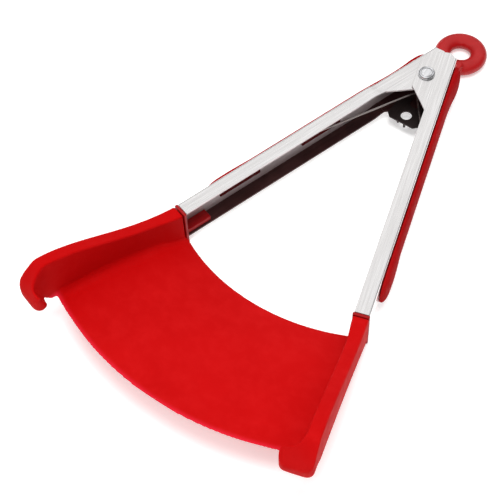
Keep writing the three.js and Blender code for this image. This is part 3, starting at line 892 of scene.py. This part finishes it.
def make_left_jaw():
    bm = jaw_wall(lambda r: blade_top(r) - BLADE_THICKNESS, True, 0.72)
    bmesh.ops.recalc_face_normals(bm, faces=bm.faces)
    blade = blade_skin()
    bmesh.ops.recalc_face_normals(blade, faces=blade.faces)
    join_into(bm, blade)
    bmesh.ops.transform(bm, matrix=to_world(-1), verts=bm.verts)
    piece = finish_piece(
        "left_jaw_blade", bm, SILICONE, "left_arm", ["left_jaw_and_blade"], 180)
    fuse(piece, voxel=0.65 * MM, passes=5)
    return piece


def make_right_jaw():
    bm = jaw_wall(sweep_level, False, 0.2)
    bmesh.ops.transform(bm, matrix=to_world(1), verts=bm.verts)
    return finish_piece("right_jaw_wall", bm, SILICONE, "right_arm", ["right_jaw"], 60)


def make_core(name, body):
    bm = cad_copy(name, 0.35 * MM, 3)
    return even_shading(finish_piece(name + "_moulding", bm, NYLON_RED, body, [name], 40))


make_arm("left_arm", -1)
make_arm("right_arm", 1)
make_rivet()
make_spring_half("spring_upper", 1)
make_spring_half("spring_lower", -1)
make_slide()
make_ring()
make_grip("left_grip", -1)
make_grip("right_grip", 1)
make_core("left_jaw_core", "left_arm")
make_core("right_jaw_core", "right_arm")
make_left_jaw()
make_right_jaw()

# ---------- floor, light and camera ----------


def make_floor():
    bm = bmesh.new()
    bmesh.ops.create_grid(bm, x_segments=1, y_segments=1, size=4.0)
    bmesh.ops.translate(bm, vec=(0, 0, cad_low.z - 0.4 * MM), verts=bm.verts)
    mesh = bpy.data.meshes.new("floor")
    bm.to_mesh(mesh)
    bm.free()
    floor = bpy.data.objects.new("floor", mesh)
    bpy.context.scene.collection.objects.link(floor)
    material, tree, shader, position = start_material("pale_floor")
    tone = noise_node(tree, position, 3.0)
    link(tree, mix_colour(tree, tone, (0.93, 0.93, 0.93), (0.95, 0.95, 0.95)), shader.inputs["Base Color"])
    shader.inputs["Roughness"].default_value = 0.9
    shader.inputs["Emission Color"].default_value = (1, 1, 1, 1)
    shader.inputs["Emission Strength"].default_value = 0.32
    mesh.materials.append(material)


def add_light(name, place, aim, size, power):
    data = bpy.data.lights.new(name, "AREA")
    data.shape = "DISK"
    data.size = size
    data.energy = power
    light = bpy.data.objects.new(name, data)
    light.location = place
    light.rotation_mode = "QUATERNION"
    light.rotation_quaternion = (Vector(aim) - Vector(place)).to_track_quat("-Z", "Y")
    light.visible_glossy = False
    bpy.context.scene.collection.objects.link(light)


def make_sky():
    """Even studio light from above, dark low down and to the right, for the polished steel to reflect."""
    world = bpy.data.worlds.new("studio")
    bpy.context.scene.world = world
    world.use_nodes = True
    tree = world.node_tree
    coordinates = tree.nodes.new("ShaderNodeTexCoord")
    parts = split(tree, coordinates.outputs["Generated"])
    height = remap(tree, parts["Z"], 0.26, 0.56, 0.10, 0.98)
    shade = remap(tree, parts["X"], 0.30, 0.75, 1.0, 0.25)
    strength = maths(tree, "MULTIPLY", height, shade)
    background = tree.nodes["Background"]
    background.inputs["Color"].default_value = (1, 1, 1, 1)
    link(tree, strength, background.inputs["Strength"])


def make_camera():
    """A long lens from the front right and well above, slightly rolled."""
    azimuth, elevation, roll = math.radians(38.55), math.radians(55.87), math.radians(-3.24)
    aim = PIVOT + Vector((-16.79, -154.923, 0)) * MM
    distance = 0.71477
    level = math.cos(elevation)
    back = Vector((math.sin(azimuth) * level, -math.cos(azimuth) * level, math.sin(elevation)))
    right = Vector((math.cos(azimuth), math.sin(azimuth), 0))
    up = back.cross(right)
    across = math.cos(roll) * right + math.sin(roll) * up
    upright = -math.sin(roll) * right + math.cos(roll) * up
    data = bpy.data.cameras.new("camera")
    data.lens = 93.9
    data.sensor_width = 36
    camera = bpy.data.objects.new("camera", data)
    turn = Matrix((across, upright, back)).transposed().to_4x4()
    camera.matrix_world = Matrix.Translation(aim + back * distance) @ turn
    bpy.context.scene.collection.objects.link(camera)
    bpy.context.scene.camera = camera


bpy.context.scene.view_settings.view_transform = "Standard"
make_floor()
make_sky()
middle = (cad_low + cad_high) / 2
# each light's name, place from the middle of the tongs, width in metres and power in watts
for name, away, size, power in (("key", (0.1, -0.1, 1.3), 0.6, 8.5), ("fill", (0.7, -0.6, 0.9), 0.7, 2.0)):
    add_light(name, middle + Vector(away), middle, size, power)
make_camera()

bpy.context.view_layer.update()
